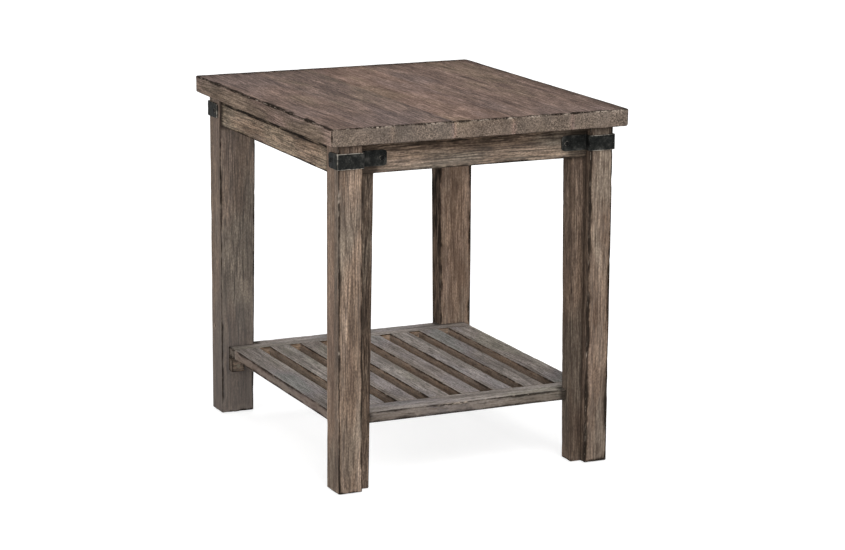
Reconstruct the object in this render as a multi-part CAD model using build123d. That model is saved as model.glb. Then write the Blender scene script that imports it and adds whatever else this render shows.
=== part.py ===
from build123d import *

import os
from math import cos, radians, sin

# Rustic hickory end table: plank top, four rebated legs, a slatted shelf and black iron corner straps.
#
# Millimetres. Origin on the floor under the middle of the top, +X to the right, +Y to the back, +Z up.
# Corner pieces are drawn once at the back right corner (x > 0, y > 0) and mirrored to the other three.

# ---- overall sizes
table_height = 671.0
top_width = 590.0
top_depth = 686.0
top_thickness = 32.0
side_overhang = 22.0
end_overhang = 21.0

# ---- top
top_board_count = 5
top_corner_radius = 7.0
top_edge_radius = 2.5
top_under_radius = 1.5
dowel_radius = 4.0
dowel_length = 50.0
dowel_spacing = 230.0
dowels_per_seam = 3

# ---- legs: a tapered post with a narrower face board glued on, which leaves a rebate
leg_width = 76.0
leg_depth = 54.0
leg_taper = 9.0
face_board_width = 47.0
face_board_thickness = 18.0
leg_edge_radius = 2.0
foot_chamfer = 1.5

# ---- aprons
apron_height = 58.0
apron_thickness = 20.0
side_apron_inset = 4.0
end_apron_inset = 16.0
apron_edge_radius = 1.2
apron_tenon_length = 14.0
apron_tenon_thickness = 10.0
apron_tenon_shoulder = 8.0

# ---- slatted shelf
shelf_height = 138.0
shelf_thickness = 20.0
shelf_side_inset = 15.0
shelf_end_inset = 36.0
shelf_rail_width = 51.0
slat_count = 6
slat_width = 41.5
slat_edge_radius = 1.0
shelf_tenon_length = 12.0
shelf_tenon_thickness = 8.0
shelf_tenon_shoulder = 5.0

# ---- shelf cleats
cleat_width = 26.0
cleat_depth = 18.0
cleat_height = 29.0
cleat_chamfer = 2.0
cleat_screw_drop = 17.0
shelf_screw_inset = 21.0

# ---- iron straps
strap_thickness = 4.0
strap_height = 29.0
strap_drop = 15.5
strap_bend_radius = 2.0
strap_end_radius = 6.0
strap_rim_chamfer = 0.5
front_strap_side_reach = 36.0
back_strap_side_reach = 49.0
strap_apron_reach = 52.0
strap_bolt_inset = 10.0
bolt_head_radius = 5.0
bolt_head_height = 2.5
bolt_dome_steps = 5
bolt_shank_radius = 2.2
bolt_side_land = 1.5
bolt_apron_bite = 13.0

# ---- corner blocks under the top
block_height = 38.0
block_tip = 8.0
block_land = 4.0
block_screw_inset = 27.0
block_screw_seat = 18.0
block_screw_rise = 9.0
block_top_screw_inset = 12.0
block_top_screw_seat = 20.0

# ---- wooden buttons that hold the top
button_width = 25.0
button_length = 28.0
button_height = 20.0
button_tongue = 8.0
button_tail_chamfer = 4.0
button_engagement = 9.0
button_apron_gap = 0.8
button_spread = 110.0

# ---- screws and glides
screw_radius = 2.0
screw_head_radius = 4.0
screw_head_height = 2.4
screw_point = 4.0
screw_bite = 12.0
counterbore_radius = 4.6
glide_radius = 11.0
glide_thickness = 2.0
glide_edge = 0.6
glide_pin_radius = 1.3
glide_pin_length = 14.0

# ---- clearances
joint_clearance = 0.15
hole_clearance = 0.1
blind_clearance = 0.4
shelf_leg_clearance = 0.2
same_place = 0.01

# ---- places worked out from the sizes
leg_x = top_width / 2 - side_overhang
leg_y = top_depth / 2 - end_overhang
leg_top = table_height - top_thickness
post_outer_y = leg_y - face_board_thickness
post_inner_y = leg_y - leg_depth
post_thickness = leg_depth - face_board_thickness
step_x = leg_x - face_board_width
foot_width = leg_width - leg_taper
apron_bottom = leg_top - apron_height
side_apron_x = leg_x - side_apron_inset
side_apron_inner_x = side_apron_x - apron_thickness
end_apron_y = leg_y - end_apron_inset
end_apron_inner_y = end_apron_y - apron_thickness
shelf_bottom = shelf_height - shelf_thickness
shelf_x = leg_x - shelf_side_inset
shelf_y = leg_y - shelf_end_inset
slot_end_y = shelf_y - shelf_rail_width
side_rail_inner_x = shelf_x - shelf_rail_width
slot_width = (2 * side_rail_inner_x - slat_count * slat_width) / (slat_count + 1)
strap_middle = leg_top - strap_drop - strap_height / 2
board_width = top_width / top_board_count
block_reach = leg_width - side_apron_inset - apron_thickness - block_land

CORNERS = {
    "front_left": (-1, -1),
    "front_right": (1, -1),
    "back_left": (-1, 1),
    "back_right": (1, 1),
}


def leg_inner_x(z):
    """The post's tapered inner face at height z."""
    return leg_x - leg_width + leg_taper * (leg_top - z) / (leg_top - glide_thickness)


# ---- drawing helpers
def block(x_span, y_span, z_span):
    """A board between two x, two y and two z values."""
    size = [abs(span[1] - span[0]) for span in (x_span, y_span, z_span)]
    middle = [(span[0] + span[1]) / 2 for span in (x_span, y_span, z_span)]
    return Pos(*middle) * Box(*size)


def at_corner(shape, side, end):
    """Mirrors a back right piece to the corner with these signs of x and y."""
    if side < 0:
        shape = mirror(shape, about=Plane.YZ)
    if end < 0:
        shape = mirror(shape, about=Plane.XZ)
    return shape


def at_all_corners(shape):
    return [at_corner(shape, side, end) for side, end in CORNERS.values()]


def turned(outline, base, direction):
    """Revolves an outline of (radius, distance) points round the line that leaves base."""
    face = make_face(Plane.XZ * Polyline(*outline, close=True))
    return Plane(origin=base, z_dir=direction) * revolve(face, Axis.Z)


def wood_screw(seat, direction, length, room=0.0):
    """A countersunk screw whose flat head lies at seat. With room it is the hole for it."""
    shank = screw_radius + room
    head = screw_head_radius + room
    outline = [
        (0, 0),
        (head, 0),
        (shank, screw_head_height + room),
        (shank, length - screw_point + room),
        (0, length + room),
    ]
    return turned(outline, seat, direction)


def counterbore(seat, direction, length):
    """The open way behind a screw head, away from the direction that it is driven."""
    back = tuple(-value for value in direction)
    return turned([(0, 0), (counterbore_radius, 0), (counterbore_radius, length), (0, length)], seat, back)


def strap_bolt(seat, direction, bite, room=0.0):
    """A domed bolt. The head's flat side lies at seat and the shank goes on by bite."""
    shank = bolt_shank_radius + room
    if room:
        return turned([(0, 0), (shank, 0), (shank, bite + room), (0, bite + room)], seat, direction)
    rises = [radians(90 * step / bolt_dome_steps) for step in range(bolt_dome_steps)]
    dome = [(bolt_head_radius * cos(rise), -bolt_head_height * sin(rise)) for rise in rises]
    outline = [(0, bite), (shank, bite - shank), (shank, 0), *dome, (0, -bolt_head_height)]
    return turned(outline, seat, direction)


# ---- the top
def top_slab():
    slab = extrude(RectangleRounded(top_width, top_depth, top_corner_radius), top_thickness)
    slab = Pos(0, 0, leg_top) * slab
    slab = fillet(slab.faces().sort_by(Axis.Z)[-1].edges(), top_edge_radius)
    return fillet(slab.faces().sort_by(Axis.Z)[0].edges(), top_under_radius)


def seam_x(index):
    return -top_width / 2 + board_width * index


def top_dowels(room=0.0):
    """Dowels across each seam of the top, or with room the holes for them."""
    middle_z = leg_top + top_thickness / 2
    pegs = []
    for seam in range(1, top_board_count):
        for row in range(dowels_per_seam):
            y = (row - (dowels_per_seam - 1) / 2) * dowel_spacing
            peg = Rot(0, 90, 0) * Cylinder(dowel_radius + room, dowel_length + 2 * room)
            pegs.append(Pos(seam_x(seam), y, middle_z) * peg)
    return pegs


def top_boards(cuts):
    slab = top_slab()
    boards = {}
    for index in range(top_board_count):
        span = block(
            (seam_x(index), seam_x(index + 1)),
            (-top_depth, top_depth),
            (leg_top - top_thickness, table_height + top_thickness),
        )
        boards[f"top_board_{index + 1}"] = (slab & span) - cuts
    return boards


# ---- legs at the back right corner
def leg_post():
    outline = [
        (leg_x, glide_thickness),
        (leg_x - foot_width, glide_thickness),
        (leg_x - leg_width, leg_top),
        (leg_x, leg_top),
    ]
    plane = Plane(origin=(0, post_outer_y, 0), x_dir=(1, 0, 0), z_dir=(0, -1, 0))
    post = extrude(make_face(plane * Polyline(*outline, close=True)), post_thickness, dir=(0, -1, 0))
    inner = post.faces().sort_by(Axis.X)[0]
    long_edges = inner.edges().sort_by(Axis.Y)
    post = fillet([long_edges[0], long_edges[-1]], leg_edge_radius)
    outer = post.edges().filter_by(Axis.Z).group_by(Axis.X)[-1].sort_by(Axis.Y)[0]
    post = fillet(outer, leg_edge_radius)
    foot = post.faces().sort_by(Axis.Z)[0].edges().filter_by(Axis.X)
    post = chamfer(foot, foot_chamfer)
    housing = block(
        (leg_x - leg_width - 1, step_x),
        (end_apron_inner_y, post_outer_y + 1),
        (apron_bottom, leg_top + 1),
    )
    return post - housing


def face_board():
    board = block((step_x, leg_x), (post_outer_y, leg_y), (glide_thickness, leg_top))
    outer_edges = board.edges().filter_by(Axis.Z).group_by(Axis.Y)[-1]
    board = fillet(outer_edges, leg_edge_radius)
    foot = board.faces().sort_by(Axis.Z)[0].edges().filter_by(Axis.X).sort_by(Axis.Y)[-1]
    return chamfer(foot, foot_chamfer)


def glide(room=0.0):
    centre = (leg_x - foot_width / 2, post_outer_y - post_thickness / 2, 0)
    pin_end = glide_thickness + glide_pin_length + room
    pin = glide_pin_radius + room
    if room:
        return turned([(0, 0), (pin, 0), (pin, pin_end), (0, pin_end)], centre, (0, 0, 1))
    outline = [
        (0, 0),
        (glide_radius - glide_edge, 0),
        (glide_radius, glide_edge),
        (glide_radius, glide_thickness),
        (pin, glide_thickness),
        (pin, pin_end - pin),
        (0, pin_end),
    ]
    return turned(outline, centre, (0, 0, 1))


# ---- aprons
def side_apron_tenon(room=0.0):
    """The tenon at the back end of the right apron, or with room its mortise."""
    middle_x = side_apron_x - apron_thickness / 2
    half = apron_tenon_thickness / 2 + room
    end = post_inner_y + apron_tenon_length + (blind_clearance if room else 0)
    start = post_inner_y - 1 if not room else post_inner_y
    return block(
        (middle_x - half, middle_x + half),
        (start, end),
        (apron_bottom + apron_tenon_shoulder - room, leg_top - apron_tenon_shoulder + room),
    )


def side_apron():
    board = block(
        (side_apron_inner_x, side_apron_x), (-post_inner_y, post_inner_y), (apron_bottom, leg_top)
    )
    lower_edges = board.edges().filter_by(Axis.Y).group_by(Axis.Z)[0]
    board = fillet(lower_edges, apron_edge_radius)
    tenon = side_apron_tenon()
    return board + tenon + mirror(tenon, about=Plane.XZ)


def end_apron():
    board = block((-step_x, step_x), (end_apron_inner_y, end_apron_y), (apron_bottom, leg_top))
    lower_edge = board.edges().filter_by(Axis.X).group_by(Axis.Z)[0].sort_by(Axis.Y)[-1]
    return fillet(lower_edge, apron_edge_radius)


# ---- shelf
def shelf_tenon(middle_x, width, room=0.0):
    """A stub tenon at the back end of a slat or side rail, or with room its mortise."""
    middle_z = shelf_bottom + shelf_thickness / 2
    half = shelf_tenon_thickness / 2 + room
    reach = width / 2 - shelf_tenon_shoulder + room
    end = slot_end_y + shelf_tenon_length + (blind_clearance if room else 0)
    start = slot_end_y if room else slot_end_y - 1
    return block((middle_x - reach, middle_x + reach), (start, end), (middle_z - half, middle_z + half))


def slat_x(index):
    return -side_rail_inner_x + slot_width * (index + 1) + slat_width * (index + 0.5)


def shelf_board(middle_x, width):
    """A board of the shelf that runs front to back between the two end rails."""
    board = block(
        (middle_x - width / 2, middle_x + width / 2), (-slot_end_y, slot_end_y), (shelf_bottom, shelf_height)
    )
    board = fillet(board.edges().filter_by(Axis.Y).group_by(Axis.Z)[-1], slat_edge_radius)
    tenon = shelf_tenon(middle_x, width)
    return board + tenon + mirror(tenon, about=Plane.XZ)


def shelf_end_rail():
    """The back rail, notched round the two back legs and mortised for the slats."""
    notch_x = leg_inner_x(shelf_height) - shelf_leg_clearance
    outline = [
        (-shelf_x, slot_end_y),
        (shelf_x, slot_end_y),
        (shelf_x, post_inner_y),
        (notch_x, post_inner_y),
        (notch_x, shelf_y),
        (-notch_x, shelf_y),
        (-notch_x, post_inner_y),
        (-shelf_x, post_inner_y),
    ]
    rail = Pos(0, 0, shelf_bottom) * extrude(make_face(Polyline(*outline, close=True)), shelf_thickness)
    outer_face = rail.faces().sort_by(Axis.Y)[-1]
    rail = fillet(outer_face.edges().filter_by(Axis.X), slat_edge_radius)
    side_x = shelf_x - shelf_rail_width / 2
    rail -= shelf_tenon(side_x, shelf_rail_width, joint_clearance)
    rail -= shelf_tenon(-side_x, shelf_rail_width, joint_clearance)
    for index in range(slat_count):
        rail -= shelf_tenon(slat_x(index), slat_width, joint_clearance)
    return rail


def shelf_cleat():
    cleat = block(
        (shelf_x - cleat_width, shelf_x),
        (post_inner_y - cleat_depth, post_inner_y),
        (shelf_bottom - cleat_height, shelf_bottom),
    )
    lower_edge = cleat.edges().filter_by(Axis.X).group_by(Axis.Z)[0].sort_by(Axis.Y)[0]
    return chamfer(lower_edge, cleat_chamfer)


def cleat_screw(room=0.0):
    """The level screw that holds a cleat to its leg."""
    seat = (shelf_x - cleat_width / 2, post_inner_y - cleat_depth, shelf_bottom - cleat_screw_drop)
    return wood_screw(seat, (0, 1, 0), cleat_depth + screw_bite, room)


def shelf_screw(room=0.0):
    """The upright screw through a cleat into the shelf's end rail."""
    seat = (shelf_x - shelf_screw_inset, post_inner_y - cleat_depth / 2, shelf_bottom - cleat_height)
    return wood_screw(seat, (0, 0, 1), cleat_height + screw_bite, room)


# ---- iron straps
def upright_edge_at(bar, x, y):
    """The bar's upright edge that stands at this x and y."""
    for edge in bar.edges().filter_by(Axis.Z):
        if abs(edge.center().X - x) < same_place and abs(edge.center().Y - y) < same_place:
            return edge
    raise ValueError(f"no upright edge at {x}, {y}")


def strap_rims(bar):
    """The upper and lower edges of a strap's outside."""
    side_face_x = leg_x + strap_thickness - same_place
    apron_face_y = end_apron_y + strap_thickness - same_place
    levels = bar.edges().group_by(Axis.Z)
    return [
        edge
        for edge in levels[0] + levels[-1]
        if edge.center().X > side_face_x or (edge.center().X < step_x and edge.center().Y > apron_face_y)
    ]


def strap(side_reach):
    """A flat bar bent round the leg's outer corner and jogged back at the rebate onto the apron."""
    apron_end = step_x - strap_apron_reach
    inner = [
        (leg_x, leg_y - side_reach),
        (leg_x, leg_y),
        (step_x, leg_y),
        (step_x, end_apron_y),
        (apron_end, end_apron_y),
    ]
    outer = [
        (apron_end, end_apron_y + strap_thickness),
        (step_x - strap_thickness, end_apron_y + strap_thickness),
        (step_x - strap_thickness, leg_y + strap_thickness),
        (leg_x + strap_thickness, leg_y + strap_thickness),
        (leg_x + strap_thickness, leg_y - side_reach),
    ]
    bar = extrude(make_face(Polyline(*inner, *outer, close=True)), strap_height)
    bar = Pos(0, 0, strap_middle - strap_height / 2) * bar
    bar = fillet([upright_edge_at(bar, *outer[2]), upright_edge_at(bar, *outer[3])], strap_bend_radius)
    side_end = bar.edges().filter_by(Axis.X).group_by(Axis.Y)[0]
    bar = fillet(side_end, strap_end_radius)
    apron_end_edges = bar.edges().filter_by(Axis.Y).group_by(Axis.X)[0]
    bar = fillet(apron_end_edges, strap_end_radius)
    return chamfer(strap_rims(bar), strap_rim_chamfer)


def strap_bolts_of(side_reach, room=0.0):
    """The two bolts of a back right strap, or with room the holes for them."""
    side_depth = side_apron_inset + (apron_thickness - apron_tenon_thickness) / 2 - bolt_side_land
    side_seat = (leg_x + strap_thickness, leg_y - side_reach + strap_bolt_inset, strap_middle)
    apron_seat = (
        step_x - strap_apron_reach + strap_bolt_inset,
        end_apron_y + strap_thickness,
        strap_middle,
    )
    return [
        strap_bolt(side_seat, (-1, 0, 0), strap_thickness + side_depth, room),
        strap_bolt(apron_seat, (0, -1, 0), strap_thickness + bolt_apron_bite, room),
    ]


def side_reach_of(end):
    return front_strap_side_reach if end < 0 else back_strap_side_reach


# ---- corner blocks
def corner_block():
    x, y = side_apron_inner_x, post_inner_y
    outline = [
        (x, y),
        (x - block_reach, y),
        (x - block_reach, y - block_tip),
        (x - block_tip, y - block_reach),
        (x, y - block_reach),
    ]
    body = extrude(make_face(Polyline(*outline, close=True)), block_height)
    return Pos(0, 0, leg_top - block_height) * body


def block_screw_seats():
    """Where each screw of a corner block sits, which way it is driven, and its length."""
    x, y = side_apron_inner_x, post_inner_y
    middle = leg_top - block_height / 2
    level_length = block_screw_seat + screw_bite
    top_seat = leg_top - block_top_screw_seat
    return [
        ((x - block_screw_inset, y - block_screw_seat, middle + block_screw_rise), (0, 1, 0), level_length),
        ((x - block_screw_seat, y - block_screw_inset, middle - block_screw_rise), (1, 0, 0), level_length),
        (
            (x - block_top_screw_inset, y - block_top_screw_inset, top_seat),
            (0, 0, 1),
            block_top_screw_seat + screw_bite,
        ),
    ]


def block_screws(room=0.0):
    return [wood_screw(seat, way, length, room) for seat, way, length in block_screw_seats()]


def block_counterbores():
    return [counterbore(seat, way, block_height) for seat, way, _ in block_screw_seats()]


# ---- buttons
def button_places():
    """Each button's spot on an apron's inner face, and the turn that points its tongue outwards."""
    places = []
    for sign in (-1, 1):
        places.append(((side_apron_inner_x, sign * button_spread), 0))
        places.append(((sign * button_spread, end_apron_inner_y), 90))
        places.append(((-side_apron_inner_x, sign * button_spread), 180))
        places.append(((sign * button_spread, -end_apron_inner_y), 270))
    return places


def place_button(shape, spot, turn):
    return Pos(spot[0], spot[1], leg_top) * Rot(0, 0, turn) * shape


def button():
    """A button whose tongue points along +X into an apron with its inner face at x = 0."""
    body = block((-button_length, -button_apron_gap), (-button_width / 2, button_width / 2), (-button_height, 0))
    tongue = block(
        (-button_apron_gap - 1, button_engagement),
        (-button_width / 2, button_width / 2),
        (-button_height, -button_height + button_tongue),
    )
    tail = body.edges().filter_by(Axis.Y).group_by(Axis.X)[0].sort_by(Axis.Z)[0]
    return chamfer(tail, button_tail_chamfer) + tongue


def button_slot():
    return block(
        (0, button_engagement + blind_clearance),
        (-button_width / 2 - joint_clearance, button_width / 2 + joint_clearance),
        (-button_height, -button_height + button_tongue + joint_clearance),
    )


def button_screw(room=0.0):
    seat = (-button_length / 2, 0, -button_height)
    return wood_screw(seat, (0, 0, 1), button_height + screw_bite, room)


def at_all_buttons(shape):
    return [place_button(shape, spot, turn) for spot, turn in button_places()]


# ---- assembly
def build():
    """Every node's name and its solid or solids."""
    nodes = {}

    all_block_screws = [at_corner(s, *signs) for signs in CORNERS.values() for s in block_screws()]
    block_holes = block_screws(hole_clearance)
    button_holes = at_all_buttons(button_screw(hole_clearance))
    top_block_holes = at_all_corners(block_holes[2])
    nodes.update(top_boards(top_dowels(hole_clearance) + button_holes + top_block_holes))
    nodes["top_dowels"] = top_dowels()

    post = leg_post() - side_apron_tenon(joint_clearance)
    post -= [glide(hole_clearance), cleat_screw(hole_clearance), block_holes[0]]
    board = face_board()
    for corner, (side, end) in CORNERS.items():
        side_hole = strap_bolts_of(side_reach_of(end), hole_clearance)[0]
        nodes[f"leg_post_{corner}"] = at_corner(post - side_hole, side, end)
        nodes[f"leg_face_{corner}"] = at_corner(board, side, end)

    slots = at_all_buttons(button_slot())
    bolt_holes = [
        at_corner(hole, side, end)
        for side, end in CORNERS.values()
        for hole in strap_bolts_of(side_reach_of(end), hole_clearance)
    ]
    right_apron = side_apron() - block_holes[1] - mirror(block_holes[1], about=Plane.XZ)
    back_apron = end_apron()
    aprons = {
        "apron_right": right_apron,
        "apron_left": mirror(right_apron, about=Plane.YZ),
        "apron_back": back_apron,
        "apron_front": mirror(back_apron, about=Plane.XZ),
    }
    for name, apron in aprons.items():
        nodes[name] = apron - slots - bolt_holes

    shelf_hole = shelf_screw(hole_clearance)
    back_rail = shelf_end_rail() - shelf_hole - mirror(shelf_hole, about=Plane.YZ)
    nodes["shelf_rail_back"] = back_rail
    nodes["shelf_rail_front"] = mirror(back_rail, about=Plane.XZ)
    side_rail = shelf_board(shelf_x - shelf_rail_width / 2, shelf_rail_width)
    nodes["shelf_rail_right"] = side_rail
    nodes["shelf_rail_left"] = mirror(side_rail, about=Plane.YZ)
    for index in range(slat_count):
        nodes[f"shelf_slat_{index + 1}"] = shelf_board(slat_x(index), slat_width)

    cleat = shelf_cleat() - cleat_screw(hole_clearance) - shelf_hole
    corner_body = corner_block() - block_holes - block_counterbores()
    for corner, (side, end) in CORNERS.items():
        reach = side_reach_of(end)
        nodes[f"shelf_cleat_{corner}"] = at_corner(cleat, side, end)
        nodes[f"strap_{corner}"] = at_corner(strap(reach) - strap_bolts_of(reach, hole_clearance), side, end)
        nodes[f"corner_block_{corner}"] = at_corner(corner_body, side, end)

    nodes["strap_bolts"] = [
        at_corner(bolt, side, end)
        for side, end in CORNERS.values()
        for bolt in strap_bolts_of(side_reach_of(end))
    ]
    nodes["cleat_screws"] = at_all_corners(cleat_screw())
    nodes["shelf_screws"] = at_all_corners(shelf_screw())
    nodes["corner_block_screws"] = all_block_screws
    nodes["top_buttons"] = at_all_buttons(button() - button_screw(hole_clearance))
    nodes["button_screws"] = at_all_buttons(button_screw())
    nodes["foot_glides"] = at_all_corners(glide())
    return nodes


def main():
    os.makedirs("parts", exist_ok=True)
    for name, shape in build().items():
        solids = shape if isinstance(shape, list) else [shape]
        flat = [solid for item in solids for solid in item.solids()]
        whole = flat[0] if len(flat) == 1 else Compound(children=flat)
        whole.label = name
        export_step(whole, f"parts/{name}.step")


main()
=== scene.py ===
from math import cos, pi, radians, sin

import bpy
import numpy as np
from mathutils import Matrix, Vector


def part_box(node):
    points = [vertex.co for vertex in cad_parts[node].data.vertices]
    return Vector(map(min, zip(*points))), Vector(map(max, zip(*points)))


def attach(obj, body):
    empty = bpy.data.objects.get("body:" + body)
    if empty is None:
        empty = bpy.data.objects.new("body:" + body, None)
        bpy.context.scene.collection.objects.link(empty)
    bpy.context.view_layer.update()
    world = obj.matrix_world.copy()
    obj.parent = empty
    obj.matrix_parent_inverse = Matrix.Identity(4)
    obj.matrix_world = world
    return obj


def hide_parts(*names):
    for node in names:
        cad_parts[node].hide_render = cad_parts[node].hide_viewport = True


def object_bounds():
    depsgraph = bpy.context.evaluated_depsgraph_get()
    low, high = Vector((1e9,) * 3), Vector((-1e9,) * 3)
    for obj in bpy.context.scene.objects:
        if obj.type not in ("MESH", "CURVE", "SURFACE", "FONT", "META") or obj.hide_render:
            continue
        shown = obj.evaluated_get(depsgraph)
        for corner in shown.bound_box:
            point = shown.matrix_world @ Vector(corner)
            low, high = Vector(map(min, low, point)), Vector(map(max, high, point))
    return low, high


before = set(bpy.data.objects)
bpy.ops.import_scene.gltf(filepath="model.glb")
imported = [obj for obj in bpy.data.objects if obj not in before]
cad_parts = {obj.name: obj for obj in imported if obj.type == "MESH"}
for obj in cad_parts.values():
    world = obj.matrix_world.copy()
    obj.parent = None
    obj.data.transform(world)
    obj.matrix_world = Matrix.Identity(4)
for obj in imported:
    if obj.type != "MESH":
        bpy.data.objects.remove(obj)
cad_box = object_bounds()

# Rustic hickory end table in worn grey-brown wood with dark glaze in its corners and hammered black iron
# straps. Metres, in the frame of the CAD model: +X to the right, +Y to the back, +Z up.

mm = 0.001

# ---- camera
lens_mm = 114.12
sensor_mm = 36.0
camera_place = (-2.0724, -4.5586, 1.4553)
camera_turn = radians(24.8595)
camera_dip = radians(12.8194)
camera_roll = radians(-0.3625)

# ---- lamps and floor
# Each lamp's place, the height over the middle of the floor that it shines at, its width and its power.
lamps = {
    "key_lamp": ((0.2, -3.0, 3.0), 0.4, 2.6, 75.0),
    "front_lamp": ((-1.2, -4.2, 0.8), 0.35, 1.8, 62.0),
    "side_lamp": ((-3.2, -1.4, 1.5), 0.35, 2.0, 52.0),
    "top_lamp": ((0.3, 1.2, 3.0), 0.6, 1.6, 24.0),
}
world_strength = 0.5
floor_reach = 30.0

# ---- worn edges and faces of the boards
# edge_lines are the gaps from a worn side at which a board is cut, on at most its outer edge_lines_share.
# Sizes in pairs are across the grain and along it.
edge_lines = tuple(value * mm for value in (0.6, 1.3, 2.3, 3.8, 6.5, 11.0))
edge_lines_share = 0.46
leg_edge_radius = 1.9 * mm
leg_rim_radius = 1.6 * mm
leg_wear = 1.9 * mm
apron_edge_radius = 1.2 * mm
apron_wear = 0.9 * mm
shelf_edge_radius = 1.0 * mm
shelf_wear = 1.1 * mm
cleat_edge_radius = 1.0 * mm
cleat_wear = 0.5 * mm
top_corner_radius = 7.0 * mm
top_edge_radius = 2.4 * mm
top_wear = 1.5 * mm
hand_plane_depth = 0.35 * mm
knot_depth = 0.5 * mm
nick_depth = 1.4 * mm
nick_scar = 2.2
wear_width = 14.0 * mm
plane_wave = (28.0 * mm, 95.0 * mm)
chip_size = (9.0 * mm, 21.0 * mm)
chip_reach = 2.4 * mm
chip_share = 0.55
shelf_leg_clearance = 0.2 * mm
crease_angle = radians(42)

# ---- hammered iron
strap_bend_radius = 3.2 * mm
strap_corner_radius = 7.0 * mm
strap_rim_radius = 0.9 * mm
strap_rim_wobble = 0.4 * mm
strap_wobble_length = 11.0 * mm
strap_step = 1.5 * mm
strap_cross_step = 1.6 * mm
strap_bend_step = 0.4 * mm
dent_size = 7.0 * mm
dent_depth = 0.55 * mm
small_dent_size = 3.2 * mm
small_dent_depth = 0.25 * mm
edge_dent_depth = 0.5 * mm
bolt_inset = 10.0 * mm
dome_radius = 4.65 * mm
dome_height = 2.4 * mm
dome_rings = 6
dome_spokes = 28

# ---- limits for comparing places, gaps and directions
# far_off stands for the gap to a side that isn't worn. squarely and upward are the least parts of a facing
# that count as facing along an axis.
far_off = 1.0
touching = 1e-7
same_gap = 1e-6
nearer_by = 1e-9
place_digits = 7
shortest = 1e-12
squarely = 0.7
upward = 0.6

# ---- noise on points
# The whole numbers that turn a cell's place and a seed into an even spread of codes.
axis_primes = np.array([73856093, 19349663, 83492791])
seed_prime = 7919
scrambles = ((13, 1274126177), (15, 668265263))
lowest_bits = 0x7FFFFFFF


def lattice_noise(points, seed):
    """Smooth noise from -1 to 1 with about one bump to a unit."""
    cell = np.floor(points).astype(np.int64)
    part = points - cell
    ease = part * part * (3 - 2 * part)
    total = np.zeros(len(points))
    for corner in np.ndindex(2, 2, 2):
        code = (cell + corner) @ axis_primes + seed * seed_prime
        for shift, scrambler in scrambles:
            code = (code ^ (code >> shift)) * scrambler & lowest_bits
        # Sixteen of the code's bits make the value at this corner of the cell.
        value = (code >> 8 & 0xFFFF) / 32767.5 - 1
        total += value * np.prod(np.where(corner, ease, 1 - ease), axis=1)
    return total


def smooth_step(low, high, value):
    part = np.clip((value - low) / (high - low), 0, 1)
    return part * part * (3 - 2 * part)


# ---- boards as skins of a grid
def cut_lines(low, high, step, worn_low=True, worn_high=True):
    """Where a board is cut across one axis: closely beside a worn side, and about a step apart elsewhere."""
    room = (high - low) * edge_lines_share
    start = [low + gap for gap in edge_lines if gap < room and worn_low]
    end = [high - gap for gap in edge_lines if gap < room and worn_high]
    first = start[-1] if start else low
    last = end[-1] if end else high
    count = max(1, round((last - first) / step))
    middle = list(np.linspace(first, last, count + 1))
    return np.unique(np.round([low, *start, *middle, *end, high], place_digits))


def grid_skin(lines, filled=None):
    """Points and quads of the outside of a stack of cells. filled says which plan cells there are."""
    counts = [len(line) for line in lines]
    if filled is None:
        filled = np.ones((counts[0] - 1, counts[1] - 1), bool)

    def corner(i, j, k):
        return (i * counts[1] + j) * counts[2] + k

    quads = []
    top = counts[2] - 1
    for i, j in np.argwhere(filled):
        around = ((i, j), (i + 1, j), (i + 1, j + 1), (i, j + 1))
        quads.append([corner(*spot, top) for spot in around])
        quads.append([corner(*around[place], 0) for place in (0, 3, 2, 1)])
    padded = np.pad(filled, 1)
    for i, j in np.argwhere(padded[1:, 1:-1] != padded[:-1, 1:-1]):
        outward = padded[i, j + 1]
        for k in range(top):
            quad = (corner(i, j, k), corner(i, j + 1, k), corner(i, j + 1, k + 1), corner(i, j, k + 1))
            quads.append(quad if outward else quad[::-1])
    for i, j in np.argwhere(padded[1:-1, 1:] != padded[1:-1, :-1]):
        outward = not padded[i + 1, j]
        for k in range(top):
            quad = (corner(i, j, k), corner(i + 1, j, k), corner(i + 1, j, k + 1), corner(i, j, k + 1))
            quads.append(quad if outward else quad[::-1])
    used, faces = np.unique(np.array(quads), return_inverse=True)
    faces = faces.reshape(-1, 4)
    index = np.stack(np.unravel_index(used, counts), axis=1)
    points = np.stack([lines[axis][index[:, axis]] for axis in range(3)], axis=1)
    return points, faces


def side_gaps(points, axis, low, high, worn_low=True, worn_high=True):
    """How far each point is from the nearer worn side on an axis, and which side that is."""
    from_low = points[:, axis] - low if worn_low else np.full(len(points), far_off)
    from_high = high - points[:, axis] if worn_high else np.full(len(points), far_off)
    return np.minimum(from_low, from_high), np.where(from_low < from_high, -1.0, 1.0)


def outline_gaps(points, outline):
    """How far each plan point is from a closed outline of straight sides, and which way the nearest faces."""
    best = np.full(len(points), far_off)
    facing = np.zeros((len(points), 2))
    for start, end in zip(outline, outline[1:] + outline[:1]):
        start, end = np.array(start), np.array(end)
        along = (end - start) / np.linalg.norm(end - start)
        reach = np.clip((points[:, :2] - start) @ along, 0, np.linalg.norm(end - start))
        gap = np.linalg.norm(points[:, :2] - start - reach[:, None] * along, axis=1)
        nearer = gap < best - nearer_by
        best[nearer] = gap[nearer]
        facing[nearer] = (along[1], -along[0])
    return best, facing


def rounding(over_a, over_b):
    """Which points lie in a rounded edge, from how far they are past its start on both sides.

    Also returns each point's distance from the edge's middle line and how much it is drawn in.
    """
    curved = (over_a > 0) & (over_b > 0)
    length = np.maximum(np.hypot(over_a, over_b), shortest)
    return curved, length, np.where(curved, np.maximum(over_a, over_b) / length, 1.0)


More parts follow.
